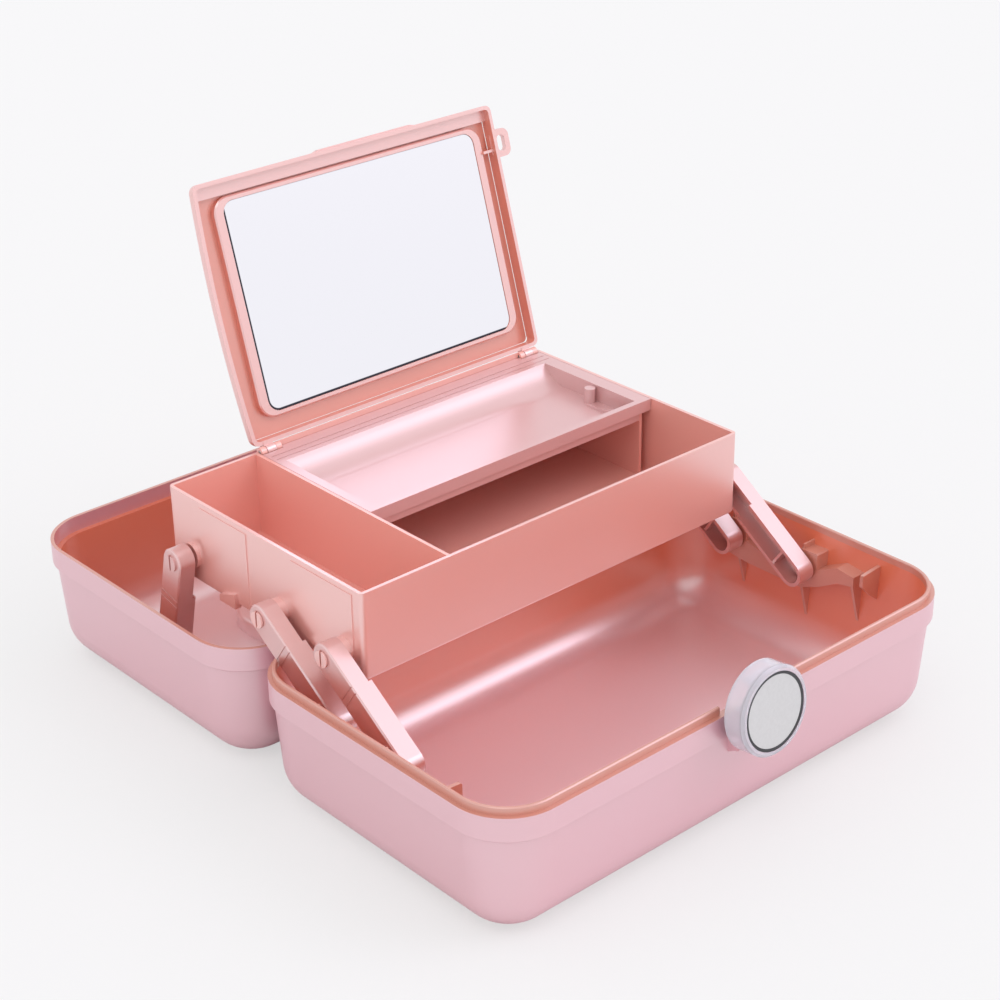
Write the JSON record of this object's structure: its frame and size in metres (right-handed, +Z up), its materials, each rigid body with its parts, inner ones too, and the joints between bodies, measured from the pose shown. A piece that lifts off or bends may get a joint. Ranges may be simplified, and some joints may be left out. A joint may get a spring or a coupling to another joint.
{
  "type": "makeup storage case with handle",
  "caption": "Hard clamshell makeup case with a swing-out divided tray on paired link arms, a hinged mirror lid over a shelf tray, a round front latch and a fold-down carry handle.",
  "frame": {"origin": "centre of the base shell's flat bottom", "axes": "+X along the long side to the right as seen from the front, +Y to the hinged rear side, +Z up; the lid is drawn open, behind the base"},
  "size_m": [0.329, 0.4196, 0.2746],
  "materials": {
    "shell_pink": "pearl gloss",
    "tray_rose": "satin gloss",
    "arm_rose": "satin gloss",
    "clear_lavender": "clear gloss",
    "mirror_silver": "polished",
    "disc_silver": "satin",
    "ring_grey": "satin",
    "pin_steel": "drawn"
  },
  "bodies": {
    "base": {"base_shell": "shell_pink", "case_hinge_pins": "pin_steel", "latch_pin": "pin_steel"},
    "lid": {"lid_shell": "shell_pink"},
    "front_arms": {"front_arm_left": "arm_rose", "front_arm_right": "arm_rose"},
    "middle_arms": {"middle_arm_left": "arm_rose", "middle_arm_right": "arm_rose"},
    "rear_arms": {"rear_arm_left": "arm_rose", "rear_arm_right": "arm_rose", "rear_arm_studs": "arm_rose"},
    "tray": {"storage_tray": "tray_rose", "shelf_tray": "tray_rose", "mirror_hinge_pins": "pin_steel"},
    "mirror_lid": {"mirror_lid_frame": "tray_rose", "mirror_glass": "mirror_silver"},
    "latch": {"latch_body": "clear_lavender", "latch_disc": "disc_silver", "latch_ring": "ring_grey"},
    "handle": {"carry_handle": "shell_pink", "handle_pins": "pin_steel"}
  },
  "joints": [
    {"name": "lid_hinge", "type": "hinge", "parent": "base", "child": "lid", "pos_m": [0, 0.1023, 0.075], "axis": [1, 0, 0], "range_deg": [0, 180]},
    {"name": "front_arm_swing", "type": "hinge", "parent": "base", "child": "front_arms", "pos_m": [0, -0.0038, 0.057], "axis": [1, 0, 0], "range_deg": [0, 118.4]},
    {"name": "middle_arm_swing", "type": "hinge", "parent": "base", "child": "middle_arms", "pos_m": [0, 0.0492, 0.057], "axis": [1, 0, 0], "range_deg": [0, 118.4]},
    {"name": "tray_level", "type": "hinge", "parent": "front_arms", "child": "tray", "pos_m": [0, 0.05127, 0.09499], "axis": [-1, 0, 0], "range_deg": [0, 118.4]},
    {"name": "rear_arm_swing", "type": "hinge", "parent": "lid", "child": "rear_arms", "pos_m": [0, 0.1962, 0.03547], "axis": [1, 0, 0], "range_deg": [0, 52.91]},
    {"name": "mirror_lid_hinge", "type": "hinge", "parent": "tray", "child": "mirror_lid", "pos_m": [0, 0.1989, 0.1313], "axis": [1, 0, 0], "range_deg": [0, 106.5]},
    {"name": "latch_hinge", "type": "hinge", "parent": "base", "child": "latch", "pos_m": [0, -0.0999, 0.056], "axis": [1, 0, 0], "range_deg": [-3.8, 35]},
    {"name": "handle_swing", "type": "hinge", "parent": "lid", "child": "handle", "pos_m": [0, 0.2046, 0.0042], "axis": [-1, 0, 0], "range_deg": [0, 90]}
  ],
  "couplings": [
    {"joint": "front_arm_swing", "follows": "lid_hinge", "ratio": 0.65778},
    {"joint": "middle_arm_swing", "follows": "lid_hinge", "ratio": 0.65778},
    {"joint": "tray_level", "follows": "lid_hinge", "ratio": 0.65778},
    {"joint": "rear_arm_swing", "follows": "lid_hinge", "ratio": 0.29393},
    {"joint": "mirror_lid_hinge", "follows": "lid_hinge", "ratio": 0.59167}
  ]
}
